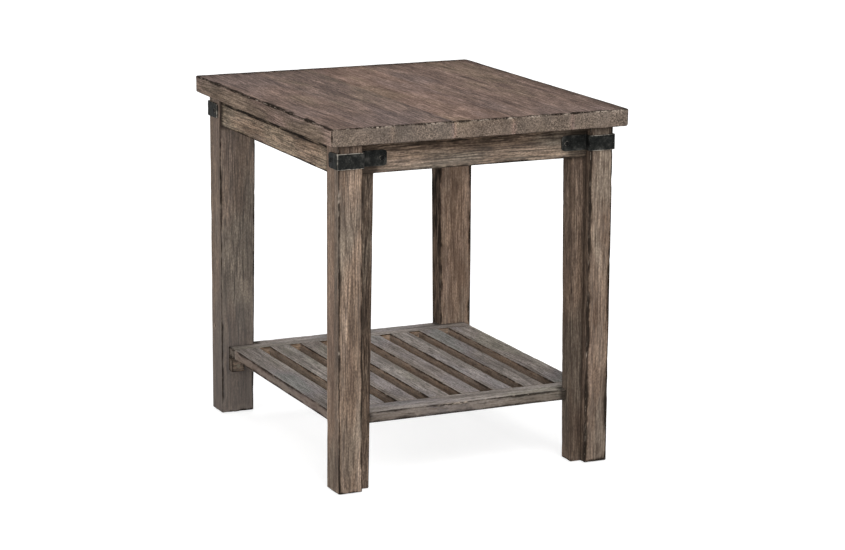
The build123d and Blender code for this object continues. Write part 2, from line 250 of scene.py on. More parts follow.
def round_plan(points, low, high, worn, radius):
    """Rounds the plan corners of a grid skin, with one radius for each point.

    Returns the new points, the way that each faces in plan, its gap to the nearest worn side and its gaps to
    the sides on both plan axes.
    """
    out = points.copy()
    facing = np.zeros_like(points)
    gap_p, sign_p = side_gaps(points, 0, low[0], high[0], worn[0], worn[1])
    gap_q, sign_q = side_gaps(points, 1, low[1], high[1], worn[2], worn[3])
    over_p = np.maximum(radius - gap_p, 0)
    over_q = np.maximum(radius - gap_q, 0)
    curved, length, shrink = rounding(over_p, over_q)
    out[:, 0] += sign_p * over_p * (shrink - 1)
    out[:, 1] += sign_q * over_q * (shrink - 1)
    near_p, side_p = side_gaps(points, 0, low[0], high[0])
    near_q, side_q = side_gaps(points, 1, low[1], high[1])
    faces_p = near_p <= near_q + same_gap
    facing[:, 0] = np.where(curved, sign_p * over_p / length, np.where(faces_p, side_p, 0))
    facing[:, 1] = np.where(curved, sign_q * over_q / length, np.where(faces_p, 0, side_q))
    plan_gap = np.where(curved, radius - np.maximum(over_p, over_q), np.minimum(gap_p, gap_q))
    return out, facing, plan_gap, [gap_p, gap_q]


def round_edges(points, low, high, worn, corner_radius, rim_radius, outline=None):
    """Rounds the plan corners and then the rims of a grid skin.

    corner_radius and rim_radius hold one radius for each point. Returns the new points, their outward
    directions and how far each lies from the nearest worn edge.
    """
    gap_w, sign_w = side_gaps(points, 2, low[2], high[2], worn[4], worn[5])
    if outline:
        out, facing = points.copy(), np.zeros_like(points)
        plan_gap, facing[:, :2] = outline_gaps(points, outline)
        edge_gap = np.maximum(plan_gap, gap_w)
    else:
        out, facing, plan_gap, gaps = round_plan(points, low, high, worn, corner_radius)
        # An edge is where two sides meet, so the second nearest side says how far it is.
        edge_gap = np.sort(np.stack([*gaps, gap_w]), axis=0)[1]
    over_s = np.maximum(rim_radius - plan_gap, 0)
    over_w = np.maximum(rim_radius - gap_w, 0)
    rim, length, shrink = rounding(over_s, over_w)
    out[:, :2] += facing[:, :2] * (over_s * (shrink - 1))[:, None]
    out[:, 2] += sign_w * over_w * (shrink - 1)
    at_low, at_high = (np.abs(points[:, 2] - end) < touching for end in (low[2], high[2]))
    flat_end = (at_low | at_high) & ~rim
    facing[rim] *= (over_s / length)[rim][:, None]
    facing[rim, 2] = (sign_w * over_w / length)[rim]
    facing[flat_end] = 0
    facing[flat_end, 2] = np.where(at_high[flat_end], 1.0, -1.0)
    return out, facing, edge_gap


def turn_axes(points, run):
    """From plan, plan, run order to x, y, z order, where run is the axis that a board runs along."""
    return np.roll(points, run - 2, axis=1)


def unturn_axes(values, run):
    return np.roll(np.asarray(values, float), 2 - run, axis=-1)


# ---- pieces
board_kinds = ("top_board", "leg_", "apron_", "shelf_rail", "shelf_slat", "shelf_cleat")
board_boxes = {
    name: [np.array(corner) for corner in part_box(name)]
    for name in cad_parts
    if name.startswith(board_kinds)
}


def nook_mask(points, own_node, reach, skip):
    """1 where a point touches another board, falling to 0 at reach."""
    nearest = np.full(len(points), reach)
    for name, (low, high) in board_boxes.items():
        if name == own_node or name.startswith(skip):
            continue
        nearest = np.minimum(nearest, np.linalg.norm(points - np.clip(points, low, high), axis=1))
    return 1 - nearest / reach


def spots(points, marks):
    """How strong each mark, a place and its size, is at the points: 1 in its middle, fading outward."""
    for place, size in marks:
        yield np.exp(-np.sum(((points - np.array(place)) / np.array(size)) ** 2, axis=1))


def new_object(name, data):
    thing = bpy.data.objects.new(name, data)
    bpy.context.scene.collection.objects.link(thing)
    return thing


def make_piece(name, points, faces, fields, material, replaced):
    """Puts a mesh with its point fields into the scene, on the table's one body."""
    mesh = bpy.data.meshes.new(name)
    mesh.from_pydata(points.tolist(), [], faces)
    for field, values in fields.items():
        kind = "FLOAT" if np.ndim(values) == 1 else "FLOAT_VECTOR"
        attribute = mesh.attributes.new(field, kind, "POINT")
        key = "value" if kind == "FLOAT" else "vector"
        attribute.data.foreach_set(key, np.ascontiguousarray(values, np.float32).ravel())
    mesh.materials.append(material)
    mesh.shade_smooth()
    mesh.set_sharp_from_angle(angle=crease_angle)
    mesh.validate()
    piece = new_object(name, mesh)
    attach(piece, "root")
    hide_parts(*replaced)


class Board:
    """One worn board: where it lies, how its grain runs, which of its sides are worn, and by how much.

    worn names the sides on both plan axes and then the ends, low before high. nicks and knots are pairs of
    a place and a size. shape moves the finished points.
    """

    worn = (True,) * 6
    corner_radius = leg_edge_radius
    rim_radius = leg_edge_radius
    wear = leg_wear
    wear_length = 55 * mm
    plane_depth = hand_plane_depth
    step = 5 * mm
    cross_step = 9 * mm
    outline = None
    filled = None
    extra_lines = ((), (), ())
    nicks = ()
    knots = ()
    skip = "none"
    nook_reach = 14 * mm
    shape = None
    # Each of these is a value, or a function of the points' facings and places.
    tone = (1.0, 0.0, 0.0)
    gap_scale = 1.0
    nook_scale = 1.0
    # shade darkens whole faces with glaze and painted shade.
    shade = 0.0
    cut = 0.0

    def __init__(self, node, grain, seed, low=None, high=None):
        box_low, box_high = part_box(node)
        self.node = node
        self.low = np.array(box_low if low is None else low, float)
        self.high = np.array(box_high if high is None else high, float)
        self.grain = grain
        self.run = grain
        self.seed = seed

    def skin(self):
        """The board's points and quads in the order plan, plan, run, with the corners of its box."""
        low, high = unturn_axes(self.low, self.run), unturn_axes(self.high, self.run)
        grain_place = (self.grain - self.run + 2) % 3
        lines = []
        for axis in range(3):
            step = self.step if axis == grain_place else self.cross_step
            worn = self.worn[2 * axis : 2 * axis + 2]
            cut = cut_lines(low[axis], high[axis], step, *worn)
            lines.append(np.unique(np.round([*cut, *self.extra_lines[axis]], place_digits)))
        filled = self.filled(lines) if self.filled else None
        return grid_skin(lines, filled), low, high

    def noise_at(self, points, across, along, shift, seed):
        """Noise with bumps of one length across the grain and another along it."""
        scale = np.full(3, 1 / across)
        scale[self.grain] = 1 / along
        return lattice_noise(points * scale + self.seed * shift, self.seed + seed)

    def worn_radius(self, points, radius):
        """Each point's edge radius: wider where hands and tools have worn the edge away."""
        slow = self.noise_at(points, wear_width, self.wear_length, 3.7, 0)
        quick = self.noise_at(points, wear_width, self.wear_length / 3.1, 1.3, 50)
        worn = smooth_step(-0.15, 0.75, slow) * 0.75 + smooth_step(0.1, 0.8, quick) * 0.35
        return radius + self.wear * worn

    def weathered(self, world, facing, gap):
        """The points after planing, chipping, knots and nicks, with fields that say where those marks are."""
        depth = self.plane_depth * (0.5 + 0.5 * self.noise_at(world, *plane_wave, 5.1, 9))
        chips = smooth_step(0.42, 0.85, self.noise_at(world, *chip_size, 2.3, 21))
        scar = chips * np.exp(-gap / chip_reach)
        depth += scar * self.wear * chip_share
        knot = np.zeros(len(world))
        for spot in spots(world, self.knots):
            depth += knot_depth * spot
            knot = np.maximum(knot, spot)
        for spot in spots(world, self.nicks):
            depth += nick_depth * spot
            scar = np.maximum(scar, nick_scar * spot)
        return world - facing * depth[:, None], {"scar": scar, "knot": knot}

    def fields(self, world, facing, gap):
        """What the finishes read at each point."""
        along = np.roll(world - (self.low + self.high) / 2, -self.grain, axis=1)
        # Each board is cut from another place in the same figured wood.
        place = np.array([self.seed * 1.731 % 23, 0.03 * sin(self.seed), 0.06 + 0.02 * cos(self.seed)])
        every = np.ones(len(world))

        def ruled(rule):
            return rule(facing, world) if callable(rule) else rule

        return {
            "grain": along + place,
            "gap": gap * ruled(self.gap_scale),
            "nook": nook_mask(world, self.node, self.nook_reach, self.skip) * ruled(self.nook_scale),
            "tone": every[:, None] * ruled(self.tone),
            "end": np.abs(facing[:, self.grain]),
            "shade": every * ruled(self.shade),
            "cut": every * ruled(self.cut),
        }

    def build(self, material, slot):
        (points, faces), low, high = self.skin()
        world = turn_axes(points, self.run)
        corner = self.worn_radius(world, self.corner_radius)
        rim = self.worn_radius(world, self.rim_radius)
        points, facing, gap = round_edges(points, low, high, self.worn, corner, rim, self.outline)
        facing = turn_axes(facing, self.run)
        world, marks = self.weathered(turn_axes(points, self.run), facing, gap)
        fields = self.fields(world, facing, gap) | marks
        if self.shape:
            world = self.shape(world)
        make_piece("worn_" + self.node, world, faces.tolist(), fields, material, [self.node])


# ---- shader helpers
def put(tree, kind, inputs=None, **settings):
    """Adds a shader node, with its settings and with each input either wired or set."""
    node = tree.nodes.new(kind)
    for key, value in settings.items():
        setattr(node, key, value)
    for key, value in (inputs or {}).items():
        if isinstance(value, bpy.types.NodeSocket):
            tree.links.new(value, node.inputs[key])
        else:
            node.inputs[key].default_value = value
    return node


def work_out(tree, operation, *values):
    return put(tree, "ShaderNodeMath", dict(enumerate(values)), operation=operation).outputs[0]


def product(tree, first, *others):
    for value in others:
        first = work_out(tree, "MULTIPLY", first, value)
    return first


def largest(tree, first, *others):
    for value in others:
        first = work_out(tree, "MAXIMUM", first, value)
    return first


def vector_math(tree, operation, *values):
    return put(tree, "ShaderNodeVectorMath", dict(enumerate(values)), operation=operation).outputs[0]


def vector_length(tree, vector):
    return put(tree, "ShaderNodeVectorMath", {0: vector}, operation="LENGTH").outputs["Value"]


def mixed(tree, factor, under, over, blend="MIX"):
    inputs = {0: factor, 6: under, 7: over}
    return put(tree, "ShaderNodeMix", inputs, data_type="RGBA", blend_type=blend).outputs[2]


def mixed_value(tree, factor, under, over):
    return put(tree, "ShaderNodeMix", {0: factor, 2: under, 3: over}, data_type="FLOAT").outputs[0]


def multiplied(tree, colour, level):
    """A colour made lighter or darker by a level round 1."""
    grey = put(tree, "ShaderNodeCombineColor", {0: level, 1: level, 2: level}).outputs[0]
    return mixed(tree, 1.0, colour, grey, "MULTIPLY")


def stretched(tree, value, from_low, from_high, to_low=0.0, to_high=1.0):
    inputs = {0: value, 1: from_low, 2: from_high, 3: to_low, 4: to_high}
    return put(tree, "ShaderNodeMapRange", inputs, interpolation_type="SMOOTHSTEP").outputs[0]


def noise(tree, vector, scale, detail=2.0, roughness=0.55, output=0):
    """Noise on a vector that is first scaled along each axis."""
    scaled = put(tree, "ShaderNodeMapping", {"Vector": vector, "Scale": scale}).outputs[0]
    inputs = {"Vector": scaled, "Scale": 1.0, "Detail": detail, "Roughness": roughness}
    return put(tree, "ShaderNodeTexNoise", inputs).outputs[output]


def colour_ramp(tree, value, stops):
    node = put(tree, "ShaderNodeValToRGB", {0: value})
    ramp = node.color_ramp
    while len(ramp.elements) < len(stops):
        ramp.elements.new(0.5)
    for element, (place, colour) in zip(ramp.elements, stops):
        element.position = place
        element.color = (*colour, 1.0)
    return node.outputs[0]


def relief(tree, height, strength, depth):
    return put(tree, "ShaderNodeBump", {"Height": height, "Strength": strength, "Distance": depth}).outputs[0]


def field(tree, name, output="Fac"):
    return put(tree, "ShaderNodeAttribute", attribute_name=name).outputs[output]


def own_place(tree):
    return put(tree, "ShaderNodeTexCoord").outputs["Object"]


def empty_tree(owner):
    owner.use_nodes = True
    owner.node_tree.nodes.clear()
    return owner.node_tree


def wire(tree, sockets, values):
    """Links worked-out values to sockets by their names."""
    for name, value in values.items():
        tree.links.new(value, sockets[name])


def new_group(name, takes, gives):
    """A node group with the named inputs and outputs. Returns it with its inside ends."""
    group = bpy.data.node_groups.new(name, "ShaderNodeTree")
    for socket_name, kind, value in takes:
        socket = group.interface.new_socket(socket_name, in_out="INPUT", socket_type="NodeSocket" + kind)
        if value is not None:
            socket.default_value = value
    for socket_name, kind in gives:
        group.interface.new_socket(socket_name, in_out="OUTPUT", socket_type="NodeSocket" + kind)
    return group, put(group, "NodeGroupInput").outputs, put(group, "NodeGroupOutput").inputs


def use_group(tree, group, inputs):
    return put(tree, "ShaderNodeGroup", inputs, node_tree=group).outputs


def new_material(name):
    material = bpy.data.materials.new(name)
    tree = empty_tree(material)
    surface = put(tree, "ShaderNodeBsdfPrincipled")
    put(tree, "ShaderNodeOutputMaterial", {"Surface": surface.outputs[0]})
    return material, tree, surface.inputs


# ---- wood effects that several materials share
def hickory_grain_group():
    """The figure of hickory. The first axis of Grain runs along the grain."""
    takes = [("Grain", "Vector", None), ("End", "Float", 0.0)]
    takes += [("Ring Width", "Float", 0.006), ("Sway", "Float", 0.02)]
    masks = ("Streaks", "Fibres", "Flecks", "Rings", "Pores", "Patches", "Clouds")
    group, given, result = new_group("hickory_grain", takes, [(mask, "Float") for mask in masks])
    crosswise = (0.0, 1.0, 1.0)
    sway = noise(group, given["Grain"], (2.4, 6.0, 6.0), 1.0, output="Color")
    centred = vector_math(group, "SUBTRACT", sway, (0.5, 0.5, 0.5))
    across = vector_math(group, "MULTIPLY", centred, crosswise)
    pulled = {0: across, "Scale": given["Sway"]}
    pull = put(group, "ShaderNodeVectorMath", pulled, operation="SCALE").outputs[0]
    bent = vector_math(group, "ADD", given["Grain"], pull)

    def figure(along, across, detail, roughness):
        """Noise with so many bumps to a metre along the grain and across it."""
        return noise(group, bent, (along, across, across), detail, roughness)

    long_streaks = product(group, figure(3.5, 75.0, 3.0, 0.6), 0.82)
    short_streaks = product(group, figure(13.0, 240.0, 3.0, 0.62), 0.18)
    streaks = work_out(group, "ADD", long_streaks, short_streaks)
    # On end grain the streaks give way to specks, and the fibres to an even middle value, patch by patch.
    open_ends = stretched(group, figure(20.0, 20.0, 1.0, 0.55), 0.42, 0.56, 0.3, 1.0)
    speckled = product(group, given["End"], open_ends)
    calm = work_out(group, "SUBTRACT", given["End"], speckled)
    radius = vector_length(group, vector_math(group, "MULTIPLY", bent, crosswise))
    turn = work_out(group, "FRACT", work_out(group, "DIVIDE", radius, given["Ring Width"]))
    wire(group, result, {
        "Streaks": mixed_value(group, speckled, streaks, figure(260.0, 260.0, 3.0, 0.7)),
        "Fibres": mixed_value(group, calm, figure(16.0, 440.0, 2.0, 0.6), 0.5),
        "Flecks": figure(200.0, 380.0, 1.0, 0.5),
        "Rings": product(group, turn, turn),
        "Pores": stretched(group, figure(40.0, 300.0, 1.0, 0.5), 0.56, 0.68),
        "Patches": figure(3.4, 12.0, 2.0, 0.5),
        "Clouds": figure(9.0, 26.0, 3.0, 0.6),
    })
    return group


def glaze_and_painted_shade_group():
    """Dark glaze on edges and in knots, glaze and painted shade in corners and on faces that Shade marks, and
    bare wood on knocked and chipped edges, which on the very arris also stands for a painted highlight.
    """
    takes = [
        ("Wood", "Color", None),
        ("Grain", "Vector", None),
        ("Gap", "Float", 0.05),
        ("Nook", "Float", 0.0),
        ("Scar", "Float", 0.0),
        ("Knot", "Float", 0.0),
        ("Shade", "Float", 0.0),
        ("Glaze Width", "Float", 0.0022),
        ("Edge Glaze", "Float", 0.8),
        ("Corner Glaze And Shade", "Float", 0.8),
        ("Face Glaze And Shade", "Float", 0.6),
        ("Rub", "Float", 0.5),
        ("Polish", "Float", 0.22),
        # Glaze is the dark colour of both the glaze and the painted shade.
        ("Glaze", "Color", (0.013, 0.0095, 0.007, 1.0)),
        # Rubbed Wood is bare wood, which on the very arris also paints a highlight.
        ("Rubbed Wood And Highlight", "Color", (0.40, 0.33, 0.27, 1.0)),
    ]
    group, given, result = new_group("glaze_and_painted_shade", takes, [("Color", "Color"), ("Dark", "Float")])
    blots = noise(group, given["Grain"], (17.0, 42.0, 42.0), 3.0, 0.65)
    lines = noise(group, given["Grain"], (26.0, 330.0, 330.0), 2.0, 0.6)
    specks = noise(group, given["Grain"], (90.0, 300.0, 300.0), 2.0, 0.6)

    width = product(group, given["Glaze Width"], stretched(group, blots, 0.32, 0.72, 0.6, 2.1))
    reach = work_out(group, "DIVIDE", given["Gap"], width)
    near_edge = stretched(group, reach, 0.42, 1.0, 1.0, 0.0)
    edge = product(group, near_edge, stretched(group, blots, 0.36, 0.6, 0.75, 1.0), given["Edge Glaze"])
    # Where parts meet, the dark in the corner is partly glaze and partly painted shade.
    nook_glaze_and_shade = stretched(group, work_out(group, "MULTIPLY_ADD", blots, 0.35, given["Nook"]), 0.42, 1.15)
    corner = product(group, nook_glaze_and_shade, given["Corner Glaze And Shade"])
    eye = stretched(group, work_out(group, "MULTIPLY_ADD", blots, 0.6, given["Knot"]), 0.75, 1.2)
    # Faces that Shade marks get glaze and painted shade, such as painted shadow close under the top.
    blotted = stretched(group, blots, 0.25, 0.75, 0.75, 1.1)
    brushed = stretched(group, lines, 0.36, 0.64, 1.35, 0.52)
    face = product(group, given["Shade"], blotted, brushed, given["Face Glaze And Shade"])
    dark = largest(group, edge, corner, product(group, eye, 0.85), face)

    # Light bare wood on the very arris also stands for a painted highlight there, and it dims under painted
    # shade.
    ridge = stretched(group, given["Gap"], 0.0, 0.0015, 1.0, 0.0)
    knocked = product(group, ridge, stretched(group, specks, 0.55, 0.66))
    scarred = product(group, given["Scar"], stretched(group, specks, 0.4, 0.56))
    unshaded = stretched(group, given["Shade"], 0.4, 1.0, 1.0, 0.15)
    light = product(group, largest(group, knocked, scarred), given["Rub"], unshaded)
    past_edge = stretched(group, reach, 0.9, 1.6)
    before_face = stretched(group, reach, 1.6, 3.6, 1.0, 0.0)
    polished = product(group, past_edge, before_face, given["Polish"])

    wood = mixed(group, polished, given["Wood"], given["Rubbed Wood And Highlight"])
    wood = mixed(group, dark, wood, given["Glaze"])
    wire(group, result, {"Color": mixed(group, light, wood, given["Rubbed Wood And Highlight"]), "Dark": dark})
    return group


def board_tone_group():
    """Makes one board lighter or darker, redder or greyer than the next, from its tone field."""
    takes = [
        ("Wood", "Color", None),
        ("Tone", "Vector", None),
        ("Warm", "Color", (0.26, 0.165, 0.12, 1.0)),
        ("Cool", "Color", (0.13, 0.118, 0.112, 1.0)),
    ]
    group, given, result = new_group("board_tone", takes, [("Color", "Color")])
    parts = put(group, "ShaderNodeSeparateXYZ", {0: given["Tone"]}).outputs
    warmed = mixed(group, parts["Y"], given["Wood"], given["Warm"])
    cooled = mixed(group, parts["Z"], warmed, given["Cool"])
    wire(group, result, {"Color": multiplied(group, cooled, parts["X"])})
    return group


hickory_grain = hickory_grain_group()
glaze_and_painted_shade = glaze_and_painted_shade_group()
board_tone = board_tone_group()

# ---- materials
late_wood_tint = (0.30, 0.24, 0.20, 1.0)
pore_tint = (0.03, 0.022, 0.017, 1.0)
inner_pore_tint = (0.06, 0.04, 0.025, 1.0)
# Painted highlights on the iron, and the deeper black of its painted shadow and blackened spots.
highlight_and_bare_iron = (0.47, 0.43, 0.37, 1.0)
grey_iron = (0.06, 0.062, 0.06, 1.0)
blackening_and_shadow_black = (0.0015, 0.0015, 0.0015, 1.0)


def aged_hickory(name, streaks, ring, pore, contrast, patches, glaze, sawn, end_tint, sway, gloss=0.2):
    """A worn, glazed hickory finish for boards that carry the fields that Board.fields writes.

    ring is a year ring's width and how dark its late wood is. Each patch is a colour, the noise values where
    it starts and is full, and its strength. contrast says how much the fine lines, short flecks and soft
    clouds lighten and darken the wood.
    """
    material, tree, surface = new_material(name)
    grain, end = field(tree, "grain", "Vector"), field(tree, "end")
    wanted = {"Grain": grain, "End": end, "Ring Width": ring[0], "Sway": sway}
    figure = use_group(tree, hickory_grain, wanted)
    wood = colour_ramp(tree, figure["Streaks"], streaks)
    for colour, low, high, strength in patches:
        patch = product(tree, stretched(tree, figure["Patches"], low, high), strength)
        wood = mixed(tree, patch, wood, (*colour, 1.0))
    wood = mixed(tree, product(tree, end, 0.6), wood, (*end_tint, 1.0))
    bared = stretched(tree, figure["Streaks"], 0.3, 0.6, 0.6, 0.95)
    wood = mixed(tree, product(tree, field(tree, "cut"), bared), wood, (*sawn, 1.0))
    late_wood = product(tree, stretched(tree, figure["Rings"], 0.55, 1.0), ring[1])
    wood = mixed(tree, late_wood, wood, late_wood_tint, "MULTIPLY")
    for mask, strength in zip(("Fibres", "Flecks", "Clouds"), contrast):
        level = stretched(tree, figure[mask], 0.34, 0.66, 1.0 - strength, 1.0 + strength)
        wood = multiplied(tree, wood, level)
    wood = mixed(tree, product(tree, figure["Pores"], pore), wood, pore_tint)
    wood = use_group(tree, board_tone, {"Wood": wood, "Tone": field(tree, "tone", "Vector")})[0]
    # Shade marks the faces that get glaze and painted shade.
    marks = {mark: field(tree, mark.lower()) for mark in ("Gap", "Nook", "Scar", "Knot", "Shade")}
    aged = use_group(tree, glaze_and_painted_shade, {"Wood": wood, "Grain": grain} | marks | glaze)
    satin = stretched(tree, figure["Fibres"], 0.3, 0.7, 0.62, 0.82)
    height = work_out(tree, "MULTIPLY_ADD", figure["Pores"], -0.9, figure["Fibres"])
    height = work_out(tree, "MULTIPLY_ADD", figure["Rings"], 0.25, height)
    wire(tree, surface, {
        "Base Color": aged["Color"],
        "Roughness": mixed_value(tree, aged["Dark"], satin, 0.95),
        "Normal": relief(tree, height, 0.4, 0.6 * mm),
    })
    surface["Specular IOR Level"].default_value = gloss
    surface["IOR"].default_value = 1.25
    return material


def plain_wood(name, light, dark):
    """Unfinished secondary wood for the hidden blocks and buttons, on the object's own coordinates."""
    material, tree, surface = new_material(name)
    figure = use_group(tree, hickory_grain, {"Grain": own_place(tree), "Ring Width": 0.004})
    wood = colour_ramp(tree, figure["Streaks"], [(0.35, dark), (0.65, light)])
    wood = mixed(tree, product(tree, figure["Rings"], 0.25), wood, (*dark, 1.0))
    wire(tree, surface, {
        "Base Color": mixed(tree, product(tree, figure["Pores"], 0.5), wood, inner_pore_tint),
        "Roughness": stretched(tree, figure["Fibres"], 0.3, 0.7, 0.6, 0.8),
        "Normal": relief(tree, figure["Fibres"], 0.3, 0.5 * mm),
    })
    return material


def black_iron(name):
    """Hammered iron, blackened, with dull dents, painted highlights of light metal along its rims and its
    first bend, and a deeper black for painted shadow and blackened spots.
    """
    material, tree, surface = new_material(name)
    place = own_place(tree)
    cloud = noise(tree, place, (75.0, 75.0, 75.0), 4.0, 0.65)
    grit = noise(tree, place, (500.0, 500.0, 700.0), 2.0, 0.6)
    black = [(0.35, (0.002, 0.0024, 0.0022)), (0.52, (0.011, 0.0115, 0.0105)), (0.66, (0.045, 0.044, 0.040))]
    scale = colour_ramp(tree, cloud, black)
    speckled = mixed(tree, stretched(tree, grit, 0.58, 0.72, 0.0, 0.5), scale, grey_iron)
    # worn and bare are painted highlights: light metal along the rims where rim_highlight asks, and on the
    # first bend.
    near_rim = stretched(tree, field(tree, "gap"), 0.0004, 0.0015, 1.0, 0.0)
    worn = largest(tree, product(tree, near_rim, field(tree, "rim_highlight")), field(tree, "bend"))
    bare = product(tree, worn, stretched(tree, cloud, 0.42, 0.56, 0.2, 1.0))
    metal = mixed(tree, bare, speckled, highlight_and_bare_iron)
    dents = put(tree, "ShaderNodeTexVoronoi", {"Vector": place, "Scale": 170.0}, feature="SMOOTH_F1")
    height = work_out(tree, "MULTIPLY_ADD", grit, 0.3, dents.outputs["Distance"])
    # blackening_and_shadow paints a deeper black: shadow at a strap's jog and the blackened top of each bolt
    # head.
    wire(tree, surface, {
        "Base Color": mixed(tree, field(tree, "blackening_and_shadow"), metal, blackening_and_shadow_black),
        "Roughness": stretched(tree, cloud, 0.3, 0.7, 0.5, 0.75),
        "Normal": relief(tree, height, 0.6, 1.2 * mm),
    })
    surface["Specular IOR Level"].default_value = 0.16
    surface["IOR"].default_value = 1.3
    return material


def zinc_steel(name):
    material, tree, surface = new_material(name)
    cloud = noise(tree, own_place(tree), (700.0, 700.0, 700.0), 3.0, 0.6)
    wire(tree, surface, {
        "Base Color": colour_ramp(tree, cloud, [(0.3, (0.10, 0.084, 0.064)), (0.7, (0.21, 0.18, 0.14))]),
        "Roughness": stretched(tree, cloud, 0.3, 0.7, 0.28, 0.48),
    })
    surface["Metallic"].default_value = 0.9
    return material


def brown_nylon(name):
    material, tree, surface = new_material(name)
    cloud = noise(tree, own_place(tree), (250.0, 250.0, 250.0), 3.0, 0.6)
    wire(tree, surface, {
        "Base Color": colour_ramp(tree, cloud, [(0.3, (0.045, 0.034, 0.026)), (0.7, (0.075, 0.058, 0.045))]),
        "Roughness": stretched(tree, cloud, 0.3, 0.7, 0.45, 0.62),
    })
    return material


top_hickory = aged_hickory(
    "burnished_top_hickory",
    streaks=[
        (0.34, (0.119, 0.080, 0.067)),
        (0.45, (0.164, 0.112, 0.093)),
        (0.54, (0.197, 0.136, 0.110)),
        (0.68, (0.268, 0.190, 0.156)),
    ],
    ring=(0.007, 0.15),
    pore=0.45,
    contrast=(0.46, 0.26, 0.2),
    patches=[((0.146, 0.114, 0.111), 0.5, 0.66, 0.4), ((0.188, 0.142, 0.096), 0.47, 0.34, 0.4)],
    glaze={"Glaze Width": 0.0023, "Edge Glaze": 0.97, "Corner Glaze And Shade": 0.7, "Rub": 0.6, "Polish": 0.0},
    gloss=0.04,
    sawn=(0.156, 0.122, 0.085),
    end_tint=(0.124, 0.106, 0.080),
    sway=0.03,
)
frame_hickory = aged_hickory(
    "brushed_leg_hickory",
    streaks=[
        (0.34, (0.108, 0.073, 0.051)),
        (0.44, (0.163, 0.114, 0.079)),
        (0.54, (0.207, 0.148, 0.106)),
        (0.68, (0.263, 0.199, 0.152)),
    ],
    ring=(0.006, 0.15),
    pore=0.6,
    contrast=(0.58, 0.28, 0.26),
    patches=[((0.160, 0.144, 0.114), 0.52, 0.64, 0.6), ((0.192, 0.136, 0.104), 0.47, 0.34, 0.6)],
    glaze={"Glaze Width": 0.0032, "Edge Glaze": 0.95, "Face Glaze And Shade": 0.76, "Rub": 0.4, "Polish": 0.1},
    sawn=(0.198, 0.153, 0.108),
    end_tint=(0.12, 0.09, 0.066),
    sway=0.012,
)
shelf_hickory = aged_hickory(
    "weathered_shelf_hickory",
    streaks=[
        (0.34, (0.178, 0.152, 0.134)),
        (0.44, (0.268, 0.234, 0.209)),
        (0.54, (0.335, 0.296, 0.268)),
        (0.68, (0.450, 0.406, 0.372)),
    ],
    ring=(0.005, 0.12),
    pore=0.45,
    contrast=(0.3, 0.24, 0.16),
    patches=[
        ((0.308, 0.278, 0.288), 0.52, 0.62, 0.6),
        ((0.28, 0.266, 0.208), 0.46, 0.34, 0.5),
        ((0.262, 0.268, 0.246), 0.6, 0.68, 0.7),
    ],
    glaze={"Glaze Width": 0.0022, "Edge Glaze": 0.88, "Corner Glaze And Shade": 0.8, "Face Glaze And Shade": 0.8, "Rub": 0.8},
    sawn=(0.205, 0.135, 0.086),
    end_tint=(0.17, 0.14, 0.115),
    sway=0.012,
)
inner_wood = plain_wood("plain_inner_wood", (0.34, 0.235, 0.15), (0.2, 0.13, 0.08))
iron = black_iron("hammered_black_iron")
zinc = zinc_steel("zinc_screw_steel")
nylon = brown_nylon("brown_glide_nylon")


# ---- the table's pieces
table_corners = {"front_left": (-1, -1), "front_right": (1, -1), "back_left": (-1, 1), "back_right": (1, 1)}


def faces_up(facing):
    return facing[:, 2] > upward


def faces_side(facing, side):
    """Which points face left, where side is -1, or right, where it is 1."""
    return facing[:, 0] * side > squarely


def faces_end(facing, end):
    """Which points face the front, where end is -1, or the back, where it is 1."""
    return facing[:, 1] * end > squarely


def mirrored(node, side, end):
    """The X and the Y range of a node's box, as if its corner of the table were the back right one."""
    low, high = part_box(node)
    return sorted((side * low.x, side * high.x)), sorted((end * low.y, end * high.y))


def end_apron(end):
    return "apron_front" if end < 0 else "apron_back"


def arris_marks(rows, y, z, size):
    """Marks along a front arris. rows say where each lies along X, and half its length, in millimetres."""
    return [((x * mm, y, z), (half * mm, *size)) for x, half in rows]


def tan_patches(world, least, most):
    """How much planed tan wood shows from place to place, in patches longer along Y."""
    patch = lattice_noise(world / np.array([34 * mm, 85 * mm, 34 * mm]), 5)
    return least + (most - least) * smooth_step(-0.35, 0.4, patch)


# ---- the top
# Each board's lightness, warmth and greyness, and how light its ends are beside its upper face.
top_tones = [
    ((1.0, 0.05, 0.1), 0.95),
    ((0.96, 0.0, 0.16), 0.95),
    ((1.03, 0.14, 0.0), 0.95),
    ((0.96, 0.06, 0.08), 0.95),
    ((0.95, 0.02, 0.06), 1.2),
]
top_edge_level = 1.13
top_end_warmth = 0.4
top_knocks = [(-198, 22), (-97, 17), (-5, 12), (53, 9), (101, 13), (126, 5), (166, 5), (237, 15), (272, 14)]


def arris_gap(facing, world):
    """Glaze is widest on the upper face inside the arris, most at the left, and slight on the lower rim."""
    low_on_edge = world[:, 2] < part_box("top_board_1")[0].z + 7 * mm
    on_face = np.where(world[:, 0] < cad_box[0].x + 20 * mm, 0.29, 0.38)
    return np.where(faces_up(facing), on_face, np.where(low_on_edge, 3.0, 1.0))


def border_darkening(facing, world):
    """The upper face is darker toward its back and right edges."""
    back = 2.2 * np.exp(-(cad_box[1].y - world[:, 1]) / (18 * mm))
    right = 1.5 * np.exp(-(cad_box[1].x - world[:, 0]) / (15 * mm))
    return np.where(faces_up(facing), np.minimum(np.maximum(back, right), 1.35), 0.0)


def edge_cut(facing, world):
    """The long edges of the top show patches of planed tan wood."""
    return np.where(faces_side(facing, -1) | faces_side(facing, 1), tan_patches(world, 0.1, 0.75), 0.0)


